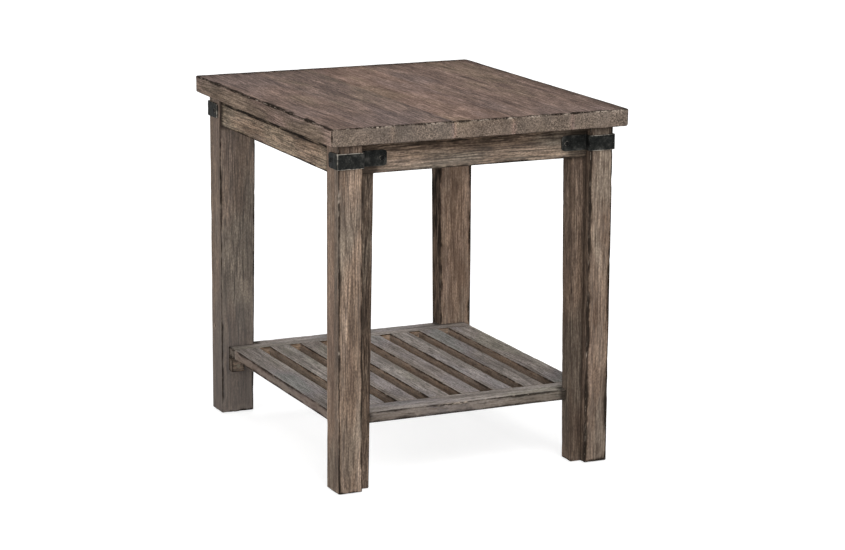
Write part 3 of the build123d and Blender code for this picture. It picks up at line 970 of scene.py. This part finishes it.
def top_tone(tone, end_level):
    """A board's own tone, lighter on a long edge, and less warm on its ends."""

    def rule(facing, world):
        on_end = (faces_end(facing, -1) | faces_end(facing, 1))[:, None]
        on_edge = (faces_side(facing, -1) | faces_side(facing, 1))[:, None]
        level = np.where(on_end, end_level, np.where(on_edge, top_edge_level, 1.0))
        warmth = np.where(on_end, top_end_warmth, 1.0)
        return np.array(tone) * np.hstack([level, warmth, np.ones_like(level)])

    return rule


def top_boards():
    last = len(top_tones) - 1
    for index, (tone, end_level) in enumerate(top_tones):
        board = Board(f"top_board_{index + 1}", grain=1, seed=3 + index)
        board.run = 2
        board.worn = (index == 0, index == last, True, True, True, True)
        board.corner_radius = top_corner_radius
        board.rim_radius = top_edge_radius
        board.wear = top_wear
        board.wear_length = 42 * mm
        board.step = 6 * mm
        board.cross_step = 7 * mm
        board.tone = top_tone(tone, end_level)
        board.shade = border_darkening
        board.skip = "top_board"
        board.cut = edge_cut
        board.nicks = arris_marks(top_knocks, cad_box[0].y, cad_box[1].z, (2.6 * mm, 2.6 * mm))
        board.gap_scale = arris_gap
        board.build(top_hickory, "top_wood")


# ---- the legs
# Each leg's lightness, warmth and greyness, how light its outer side is beside that, how much glaze and
# painted shade darken the faces of its rebate, how much painted shade darkens its inner side and the step's
# wall, and how light and how much greyer its foot is.
look_names = ("tone", "side", "recess", "inner", "wall", "foot", "foot_grey")
leg_looks = {
    "front_left": ((0.97, 0.12, 0.1), 1.0, 0.78, 0.9, 1.1, 1.0, 0.0),
    "front_right": ((0.86, 0.2, 0.06), 1.1, 0.55, 0.5, 0.75, 1.0, 0.05),
    "back_left": ((1.06, 0.06, 0.34), 0.98, 0.5, 0.9, 1.1, 0.9, 0.35),
    "back_right": ((1.05, 0.25, 0.0), 1.0, 0.6, 1.25, 1.1, 1.0, 0.0),
}


def foot_taper():
    """How much narrower a post is at its foot than at its top, worked out from the glide under its middle."""
    post_low, post_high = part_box("leg_post_back_right")
    glide_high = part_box("foot_glides")[1]
    glide_radius = glide_high.y - (post_low.y + post_high.y) / 2
    foot_width = 2 * (post_high.x - (glide_high.x - glide_radius))
    return post_high.x - post_low.x - foot_width


def leg_marks(corner, outer, step, inner, front, rebate):
    """The knots and the nicks on each leg, from the X of its edges and the Y of its faces."""

    def mark(x, y, z, width, length):
        return (x, y, z), (width * mm, width * mm, length * mm)

    knots = {
        "front_left": [
            mark(outer, front, 0.546, 9, 14),
            mark(outer, front, 0.259, 6, 9),
            mark(step, front, 0.48, 7, 16),
            mark(outer, front, 0.345, 4, 20),
            mark(outer, front, 0.204, 4, 12),
            mark(outer, front, 0.121, 3, 8),
            mark(outer, front, 0.052, 4, 12),
            mark(inner, rebate, 0.464, 4, 13),
        ],
        "front_right": [mark(step, front, 0.43, 4, 13), mark(inner, rebate, 0.33, 4, 13)],
        "back_left": [mark(outer, front, 0.393, 4, 13)],
        "back_right": [mark(inner, rebate, 0.44, 5, 7)],
    }[corner]
    nicks = {
        "front_left": [
            mark(outer, front, 0.549, 4, 5),
            mark(outer, front, 0.538, 3, 4),
            mark(outer, front, 0.262, 3, 4),
            mark(step, front, 0.472, 3, 4),
        ],
        "front_right": [mark(step, front, 0.21, 3, 4)],
        "back_left": [mark(outer, rebate, 0.172, 3, 4)],
        "back_right": [],
    }[corner]
    return knots, nicks


def leg_tone(look, side, side_tone):
    """A leg's own tone, another one on its outer side, and a change toward the foot."""

    def rule(facing, world):
        upper = np.where(faces_side(facing, side)[:, None], side_tone, look["tone"])
        at_foot = smooth_step(300 * mm, 110 * mm, world[:, 2:])
        level = 1 + at_foot * np.array([look["foot"] - 1, 0, 0])
        return upper * level + at_foot * np.array([0, 0, look["foot_grey"]])

    return rule


def leg_gap(side):
    """Edge glaze is narrow on a leg's outer side, and wider on the front of the right legs."""
    on_front = 1.0 if side < 0 else 0.6

    def rule(facing, world):
        return np.where(faces_side(facing, side), 3.0, np.where(faces_side(facing, -side), 1.2, on_front))

    return rule


def leg_nook(side):
    """A leg's outer side has little glaze and painted shade in its corners."""

    def rule(facing, world):
        return np.where(faces_side(facing, side), 0.2, 1.0)

    return rule


def post_shade(look, side, end):
    """Glaze and painted shade in the rebate, and painted shade on the inner side, more of it from the middle
    up.
    """

    def rule(facing, world):
        inner = look["inner"] * (0.8 + 0.3 * smooth_step(260 * mm, 440 * mm, world[:, 2]))
        shade = np.where(faces_side(facing, -side), inner, 0.0)
        return np.where(faces_end(facing, end), look["recess"], shade)

    return rule


def strip_shade(look, side, top):
    """Painted shade on the step's wall, and a little painted shadow close under the top."""

    def rule(facing, world):
        under_top = 0.5 * smooth_step(24 * mm, 8 * mm, top - world[:, 2])
        return np.where(faces_side(facing, -side), look["wall"], under_top)

    return rule


def tapered(side, outer, inner, bottom, top):
    """Draws a post's inner side outward toward its foot."""

    def shape(points):
        share = np.abs(outer - points[:, 0]) / abs(outer - inner)
        fall = (top - points[:, 2]) / (top - bottom)
        points[:, 0] += side * foot_taper() * share * fall
        return points

    return shape


def legs():
    for number, (corner, (side, end)) in enumerate(table_corners.items()):
        post_node, face_node = f"leg_post_{corner}", f"leg_face_{corner}"
        post_low, post_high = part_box(post_node)
        inner, outer = (side * x for x in mirrored(post_node, side, end)[0])
        face_x, face_y = mirrored(face_node, side, end)
        rebate, front = (end * y for y in face_y)
        knots, nicks = leg_marks(corner, outer, side * face_x[0], inner, front, rebate)
        look = dict(zip(look_names, leg_looks[corner]))
        level, warmth, grey = look["tone"]
        post = Board(post_node, grain=2, seed=11 + number)
        face = Board(face_node, grain=2, seed=31 + number)
        # The two boards of a leg are glued where the post faces outward along Y.
        post.worn = (True, True, end > 0, end < 0, True, False)
        face.worn = (True, True, end < 0, end > 0, True, False)
        post.tone = leg_tone(look, side, (level * look["side"], warmth + 0.13, grey))
        face.tone = leg_tone(look, side, (level * look["side"], 0.08, 0.25))
        post.shape = tapered(side, outer, inner, post_low.z, post_high.z)
        post.shade = post_shade(look, side, end)
        face.shade = strip_shade(look, side, post_high.z)
        for board in (post, face):
            board.rim_radius = leg_rim_radius
            board.knots = knots
            board.nicks = nicks
            board.gap_scale = leg_gap(side)
            board.nook_scale = leg_nook(side)
            board.nook_reach = 18 * mm
            board.skip = "shelf_"
            board.build(frame_hickory, "frame_wood")


# ---- the aprons
# The side aprons are tanner than the front and back ones, which are browner close under the top, in their
# painted shadow. band says how far under the top their painted shadow starts and is full, and cuts are extra
# lines that keep it crisp.
side_apron_look = {
    "tone": (1.22, 0.0, 0.06),
    "tone_above": (1.22, 0.0, 0.06),
    "band": (17.8 * mm, 15.8 * mm),
    "darkest": 1.5,
    "tan": 0.8,
    "cuts": [depth * mm for depth in (13.0, 15.8, 16.8, 17.8, 20.0)],
}
end_apron_look = {
    "tone": (1.06, 0.0, 0.18),
    "tone_above": (1.0, 0.12, 0.0),
    "band": (34 * mm, 12 * mm),
    "darkest": 0.97,
    "tan": 0.0,
    "cuts": [],
}


# Under the top the tone turns to tone_above, which goes with the painted shadow there.
def apron_tone(look, top):
    def rule(facing, world):
        under_top = smooth_step(28 * mm, 14 * mm, top - world[:, 2:])
        return look["tone"] + under_top * (np.array(look["tone_above"]) - look["tone"])

    return rule


def apron_cut(look):
    def rule(facing, world):
        return tan_patches(world, 0.0, look["tan"])

    return rule


# Painted shadow of the top's overhang, in a band close under the top.
def apron_shade(look, top):
    def rule(facing, world):
        return look["darkest"] * smooth_step(*look["band"], top - world[:, 2])

    return rule


def without_tenons(node, start, end):
    """A node's box, cut to a stretch along Y."""
    low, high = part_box(node)
    return (low.x, start, low.z), (high.x, end, high.z)


def aprons():
    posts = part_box("leg_post_front_left")[1].y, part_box("leg_post_back_left")[0].y
    for number, name in enumerate(("front", "back", "left", "right")):
        node = f"apron_{name}"
        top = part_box(node)[1].z
        if name in ("left", "right"):
            look = side_apron_look
            board = Board(node, 1, 51 + number, *without_tenons(node, *posts))
            board.worn = (True, False, True, True, False, False)
        else:
            look = end_apron_look
            board = Board(node, 0, 51 + number)
            board.worn = (True, True, True, False, False, False)
        board.extra_lines = ([top - depth for depth in look["cuts"]], (), ())
        board.corner_radius = apron_edge_radius
        board.wear = apron_wear
        # The wide reach spreads the corner glaze and painted shade down from the top.
        board.nook_reach = 24 * mm
        board.tone = apron_tone(look, top)
        board.cut = apron_cut(look)
        board.shade = apron_shade(look, top)
        board.build(frame_hickory, "frame_wood")


# ---- the shelf
slat_tones = [
    (1.0, 0.0, 0.1),
    (0.95, 0.05, 0.0),
    (1.05, 0.0, 0.15),
    (0.98, 0.08, 0.05),
    (1.04, 0.0, 0.12),
    (0.97, 0.03, 0.1),
]
rail_outer_tone = (0.55, 0.55, 0.0)
end_rail_tones = {"upper": (1.0, 0.0, 0.1), "inner": (1.7, 0.0, 0.0), "outer": (0.36, 0.2, 0.0)}
rail_nicks = [(-40, 14), (-12, 15)]
rail_knots = [(-150, 30), (20, 22)]


def slat_tone(inward, tone):
    """A board's own tone, and a darker one on a side rail's outer face."""

    def rule(facing, world):
        return np.where(faces_side(facing, -inward)[:, None], rail_outer_tone, tone)

    return rule


def slot_wall(inward):
    """1 on the walls of the slots: both sides of a slat, and the inner side of a side rail."""

    def rule(facing, world):
        sides = (inward,) if inward else (-1, 1)
        return np.any([faces_side(facing, side) for side in sides], axis=0).astype(float)

    return rule


def wall_shade(inward, front):
    """The walls of the slots get painted shade, darkest near the front."""

    def rule(facing, world):
        return slot_wall(inward)(facing, world) * np.exp(-(world[:, 1] - front) / (45 * mm))

    return rule


def slot_gap(inward):
    """Glaze stands along the upper edge of a slot's walls and hardly on the upper faces."""

    def rule(facing, world):
        return np.where(faces_up(facing), 2.2, np.where(faces_side(facing, -inward), 0.6, 0.8))

    return rule


def shelf_boards():
    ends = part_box("shelf_rail_front")[1].y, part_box("shelf_rail_back")[0].y
    inward_sides = {f"shelf_slat_{index + 1}": 0 for index in range(len(slat_tones))}
    inward_sides |= {"shelf_rail_left": 1, "shelf_rail_right": -1}
    for number, (node, inward) in enumerate(inward_sides.items()):
        board = Board(node, 1, 61 + number, *without_tenons(node, *ends))
        board.worn = (True, True, True, True, False, False)
        board.corner_radius = shelf_edge_radius
        board.wear = shelf_wear
        board.skip = "shelf_"
        board.tone = slat_tone(inward, slat_tones[number % len(slat_tones)])
        board.cut = slot_wall(inward)
        board.shade = wall_shade(inward, ends[0])
        board.gap_scale = slot_gap(inward)
        board.build(shelf_hickory, "shelf_wood")


def rail_outline(rail_x, inner_y, outer_y, notch_x, notch_y):
    """The plan of an end rail with a notch at each leg, from its right inner corner round its outer side."""
    right = [(rail_x, inner_y), (rail_x, notch_y), (notch_x, notch_y), (notch_x, outer_y)]
    return right + [(-x, y) for x, y in reversed(right)]


def outside_notches(notch_x, notch_y, end):
    """Says which plan cells of an end rail lie outside its notches."""

    def filled(lines):
        middle_x, middle_y = ((line[1:] + line[:-1]) / 2 for line in lines[:2])
        return (np.abs(middle_x) < notch_x)[:, None] | (end * middle_y < end * notch_y)[None, :]

    return filled


def end_rail_tone(end):
    def rule(facing, world):
        tones = end_rail_tones
        side = np.where(faces_end(facing, -end)[:, None], tones["inner"], tones["outer"])
        return np.where(faces_up(facing)[:, None], tones["upper"], side)

    return rule


def end_rail_cut(end):
    """The slots end at the rail's inner side, which shows sawn wood."""

    def rule(facing, world):
        return np.where(faces_end(facing, -end), 1.0, 0.0)

    return rule


def end_rail_gap(inner_y):
    """Hardly any glaze lies on the upper face along the seam with the slats."""

    def rule(facing, world):
        seam = faces_up(facing) & (np.abs(world[:, 1] - inner_y) < 9 * mm)
        return np.where(seam, 4.0, 0.7)

    return rule


def shelf_end_rails():
    for number, (name, end) in enumerate((("front", -1), ("back", 1))):
        node = f"shelf_rail_{name}"
        low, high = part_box(node)
        inner_y, outer_y = (end * y for y in mirrored(node, 1, end)[1])
        post_low, post_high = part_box(f"leg_post_{name}_right")
        fall = (post_high.z - high.z) / (post_high.z - post_low.z)
        notch_x = post_low.x + foot_taper() * fall - shelf_leg_clearance
        notch_y = end * mirrored(f"leg_post_{name}_right", 1, end)[1][0]
        board = Board(node, grain=0, seed=71 + number)
        board.run = 2
        # The outline has to run anticlockwise.
        board.outline = rail_outline(high.x, inner_y, outer_y, notch_x, notch_y)[::end]
        board.filled = outside_notches(notch_x, notch_y, end)
        board.extra_lines = ([notch_x - 2 * mm, notch_x, -notch_x, 2 * mm - notch_x], [notch_y], [])
        board.rim_radius = shelf_edge_radius
        board.wear = shelf_wear
        board.skip = "shelf_"
        board.tone = end_rail_tone(end)
        board.cut = end_rail_cut(end)
        board.gap_scale = end_rail_gap(inner_y)
        if name == "front":
            board.nicks = arris_marks(rail_nicks, low.y, high.z, (4 * mm, 3 * mm))
            board.knots = arris_marks(rail_knots, low.y, high.z, (4 * mm, 3 * mm))
        board.build(shelf_hickory, "shelf_wood")


def shelf_cleats():
    for number, corner in enumerate(table_corners):
        board = Board(f"shelf_cleat_{corner}", grain=0, seed=81 + number)
        board.wear = cleat_wear
        board.corner_radius = cleat_edge_radius
        board.rim_radius = cleat_edge_radius
        board.plane_depth = 0.0
        board.cross_step = 5 * mm
        board.tone = (0.95, 0.0, 0.2)
        board.build(frame_hickory, "frame_wood")


# ---- the straps and their bolts
def filleted_path(corners, radius):
    """Places along a plan path with rounded corners, how far along it each lies, and how far its bends do."""
    corners = [np.array(corner, float) for corner in corners]
    places = [corners[0]]
    bends = []
    for before, at, after in zip(corners, corners[1:], corners[2:]):
        come = (at - before) / np.linalg.norm(at - before)
        go = (after - at) / np.linalg.norm(after - at)
        centre = at - come * radius + go * radius
        shares = np.linspace(0, pi / 2, 7)
        bends.append(len(places) + len(shares) // 2)
        places += [centre - go * radius * cos(share) + come * radius * sin(share) for share in shares]
    places = np.array([*places, corners[-1]])
    length = np.concatenate([[0], np.cumsum(np.linalg.norm(np.diff(places, axis=0), axis=1))])
    return places, length, length[bends]


def strap_route(corner, side, end):
    """A strap's middle line from leg to apron, as if it were the back right one, and half its thickness."""
    strap_x, strap_y = mirrored(f"strap_{corner}", side, end)
    face_x, face_y = mirrored(f"leg_face_{corner}", side, end)
    half = (strap_x[1] - face_x[1]) / 2
    leg_x, leg_y, step_x = face_x[1] + half, face_y[1] + half, face_x[0] - half
    apron_y = mirrored(end_apron(end), side, end)[1][1] + half
    on_leg = [(leg_x, strap_y[0]), (leg_x, leg_y), (step_x, leg_y)]
    return [*on_leg, (step_x, apron_y), (strap_x[0], apron_y)], half


def hammered(points, size, shift, seed):
    """How deep hammer dents of one size are at each point of a flat bar, from 0 to 1."""
    return 0.5 + 0.5 * lattice_noise(points / np.array([size, size, 20 * mm]) + shift, seed)


def flat_bar(number, length, height, half, first_bend):
    """A hammered bar before it is bent, cut finely at its first bend."""
    fine_cuts = np.round(first_bend + strap_bend_step * np.arange(-4, 5), place_digits)
    lines = [
        np.union1d(cut_lines(0, length, strap_step), fine_cuts),
        cut_lines(0, height, strap_cross_step),
        np.linspace(-half, half, 5),
    ]
    points, faces = grid_skin(lines)
    wobble = lattice_noise(points / strap_wobble_length + number * 7.3, number)
    rim = strap_rim_radius + strap_rim_wobble * wobble
    corner_radius = np.full(len(points), strap_corner_radius)
    ends = (0, 0, -half), (length, height, half)
    points, facing, gap = round_edges(points, *ends, (True,) * 6, corner_radius, rim)
    dents = dent_depth * hammered(points, dent_size, number * 3.1, number + 5)
    dents += small_dent_depth * hammered(points, small_dent_size, number, number + 15)
    points -= facing * (dents * np.clip(facing[:, 2], 0, 1))[:, None]
    points[:, 1] -= facing[:, 1] * (wobble * 0.5 + 0.5) * edge_dent_depth
    return points, faces, facing, gap


def strap_highlights_and_shadow(along, facing, bends, end):
    """Where a strap gets painted highlights along its rims and its first bend, and painted shadow at its jog.
    """
    bend_highlight = 0.6 * np.exp(-(((along - bends[0]) / (0.6 * mm)) ** 2)) * (facing[:, 2] > 0.5)
    come = smooth_step(bends[0] - 4 * mm, bends[0], along)
    go = smooth_step(bends[1], bends[1] - 4 * mm, along)
    least = 0.1 if end < 0 else np.maximum(smooth_step(5 * mm, 2 * mm, along), 0.25)
    jog = (bends[1] + bends[2]) / 2
    blackening_and_shadow = 0.8 * np.exp(-(((along - jog) / (6 * mm)) ** 2))
    return {"bend": bend_highlight, "rim_highlight": np.maximum(come * go, least), "blackening_and_shadow": blackening_and_shadow}


def bent_along(points, along, places, length):
    """The plan places of a flat bar's points once it is bent along a path."""

    def at(distance):
        return np.stack([np.interp(distance, length, places[:, axis]) for axis in range(2)], axis=1)

    heading = at(along + 0.2 * mm) - at(along - 0.2 * mm)
    heading /= np.linalg.norm(heading, axis=1)[:, None]
    outward = np.stack([heading[:, 1], -heading[:, 0]], axis=1)
    return at(along) + outward * points[:, 2:]


def straps():
    for number, (corner, (side, end)) in enumerate(table_corners.items()):
        node = f"strap_{corner}"
        low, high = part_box(node)
        route, half = strap_route(corner, side, end)
        places, length, bends = filleted_path(route, strap_bend_radius)
        points, faces, facing, gap = flat_bar(number, length[-1], high.z - low.z, half, bends[0])
        along = np.clip(points[:, 0], 0, length[-1])
        fields = {"gap": gap} | strap_highlights_and_shadow(along, facing, bends, end)
        plan = bent_along(points, along, places, length) * (side, end)
        world = np.column_stack([plan, low.z + points[:, 1]])
        if side * end < 0:
            faces = faces[:, ::-1]
        make_piece("hammered_" + node, world, faces.tolist(), fields, iron, [node])


def bolt_seats(corner, side, end):
    """Where a strap's two bolts sit, on the apron and on the leg's side, and which way each one points."""
    strap_x, strap_y = mirrored(f"strap_{corner}", side, end)
    thickness = strap_x[1] - mirrored(f"leg_face_{corner}", side, end)[0][1]
    apron_y = mirrored(end_apron(end), side, end)[1][1]
    strap_low, strap_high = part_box("strap_front_left")
    middle = (strap_low.z + strap_high.z) / 2
    on_apron = (side * (strap_x[0] + bolt_inset), end * (apron_y + thickness), middle)
    on_side = (side * strap_x[1], end * (strap_y[0] + bolt_inset), middle)
    return (on_apron, (0.0, end, 0.0)), (on_side, (side, 0.0, 0.0))


def forged_dome(centre, outward, number, spot):
    """The points of a low dome whose rings are knocked out of round, and how high in it each lies."""
    ring, spoke = np.divmod(np.arange(dome_rings * dome_spokes), dome_spokes)
    rise = ring / dome_rings * pi / 2
    turn = spoke / dome_spokes * 2 * pi
    knocked = 1 + 0.07 * np.sin(3 * turn + number * 2 + spot) + 0.05 * np.sin(5 * turn + number + ring)
    out = dome_radius * np.cos(rise) * knocked
    up = dome_height * np.sin(rise) * (1 - 0.05 * (1 + np.sin(2 * turn + number)))
    across = np.cross(outward, (0, 0, 1))
    sides = np.outer(out * np.cos(turn), across) + np.outer(out * np.sin(turn), (0, 0, 1))
    return centre + sides + np.outer(up, outward), np.sin(rise)


def dome_faces(start):
    """The faces of a dome whose points begin at start."""
    rings = (start + np.arange(dome_rings * dome_spokes)).reshape(dome_rings, dome_spokes).tolist()
    faces = []
    for lower, upper in zip(rings, rings[1:]):
        for spoke in range(dome_spokes):
            after = (spoke + 1) % dome_spokes
            faces.append((lower[spoke], lower[after], upper[after], upper[spoke]))
    return [*faces, rings[-1], rings[0][::-1]]


def strap_bolts():
    points, heights, faces = [], [], []
    for number, (corner, (side, end)) in enumerate(table_corners.items()):
        for spot, (centre, outward) in enumerate(bolt_seats(corner, side, end)):
            faces += dome_faces(len(points) * dome_rings * dome_spokes)
            dome, height = forged_dome(centre, outward, number, spot)
            points.append(dome)
            heights.append(height)
    points, height = np.concatenate(points), np.concatenate(heights)
    # gap paints a highlight ring round the foot of each head, and the top of each head is painted blacker.
    fields = {"gap": 0.4 * mm + 1.6 * mm * height, "rim_highlight": np.full(len(height), 0.5), "blackening_and_shadow": 0.9 * height}
    make_piece("forged_strap_bolts", points, faces, fields, iron, ["strap_bolts"])


def finish_inner_parts():
    """The parts under the top keep their own shapes and get their finish."""
    finishes = {"top_dowels": inner_wood, "top_buttons": inner_wood, "foot_glides": nylon}
    finishes |= {f"{held}_screws": zinc for held in ("cleat", "shelf", "corner_block", "button")}
    finishes |= {f"corner_block_{corner}": inner_wood for corner in table_corners}
    for name, material in finishes.items():
        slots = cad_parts[name].data.materials
        slots.clear()
        slots.append(material)


# ---- floor, lamps and camera
def seen_directly(tree):
    """1 for what the camera or a mirroring face sees, and 0 for the light that bounces about."""
    path = put(tree, "ShaderNodeLightPath").outputs
    return largest(tree, path["Is Camera Ray"], path["Is Glossy Ray"])


def pale_floor():
    """Grey paper that itself glows, a little less round the table."""
    mesh = bpy.data.meshes.new("pale_floor")
    around = [(-1, -1), (1, -1), (1, 1), (-1, 1)]
    mesh.from_pydata([(floor_reach * x, floor_reach * y, 0) for x, y in around], [], [(0, 1, 2, 3)])
    material = bpy.data.materials.new("pale_floor")
    tree = empty_tree(material)
    level = stretched(tree, vector_length(tree, own_place(tree)), 0.5, 2.5, 0.76, 1.0)
    glow = put(tree, "ShaderNodeEmission", {"Strength": product(tree, seen_directly(tree), level)}).outputs[0]
    paper = put(tree, "ShaderNodeBsdfDiffuse", {"Color": (0.5, 0.5, 0.5, 1.0)}).outputs[0]
    both = put(tree, "ShaderNodeAddShader", {0: paper, 1: glow}).outputs[0]
    put(tree, "ShaderNodeOutputMaterial", {"Surface": both})
    mesh.materials.append(material)
    new_object("pale_floor", mesh)


def soft_world():
    world = bpy.data.worlds.new("studio")
    bpy.context.scene.world = world
    tree = empty_tree(world)
    level = stretched(tree, seen_directly(tree), 0.0, 1.0, world_strength, 1.0)
    sky = put(tree, "ShaderNodeBackground", {"Strength": level}).outputs[0]
    put(tree, "ShaderNodeOutputWorld", {"Surface": sky})


def soft_lamps():
    for name, (place, target_height, width, power) in lamps.items():
        light = bpy.data.lights.new(name, "AREA")
        light.shape = "DISK"
        light.size = width
        light.energy = power
        lamp = new_object(name, light)
        lamp.location = place
        aim = Vector((0, 0, target_height)) - Vector(place)
        lamp.rotation_euler = aim.to_track_quat("-Z", "Y").to_euler()


def camera():
    level = cos(camera_dip)
    forward = Vector((sin(camera_turn) * level, cos(camera_turn) * level, -sin(camera_dip)))
    level_right = Vector((cos(camera_turn), -sin(camera_turn), 0))
    level_down = forward.cross(level_right)
    right = cos(camera_roll) * level_right + sin(camera_roll) * level_down
    down = cos(camera_roll) * level_down - sin(camera_roll) * level_right
    lens = bpy.data.cameras.new("table_camera")
    lens.lens = lens_mm
    lens.sensor_width = sensor_mm
    lens.clip_end = 100.0
    view = new_object("table_camera", lens)
    turn = Matrix((right, -down, -forward)).transposed()
    view.matrix_world = Matrix.Translation(camera_place) @ turn.to_4x4()
    bpy.context.scene.camera = view


top_boards()
legs()
aprons()
shelf_boards()
shelf_end_rails()
shelf_cleats()
straps()
strap_bolts()
finish_inner_parts()
pale_floor()
soft_world()
soft_lamps()
camera()
bpy.context.scene.view_settings.view_transform = "Standard"
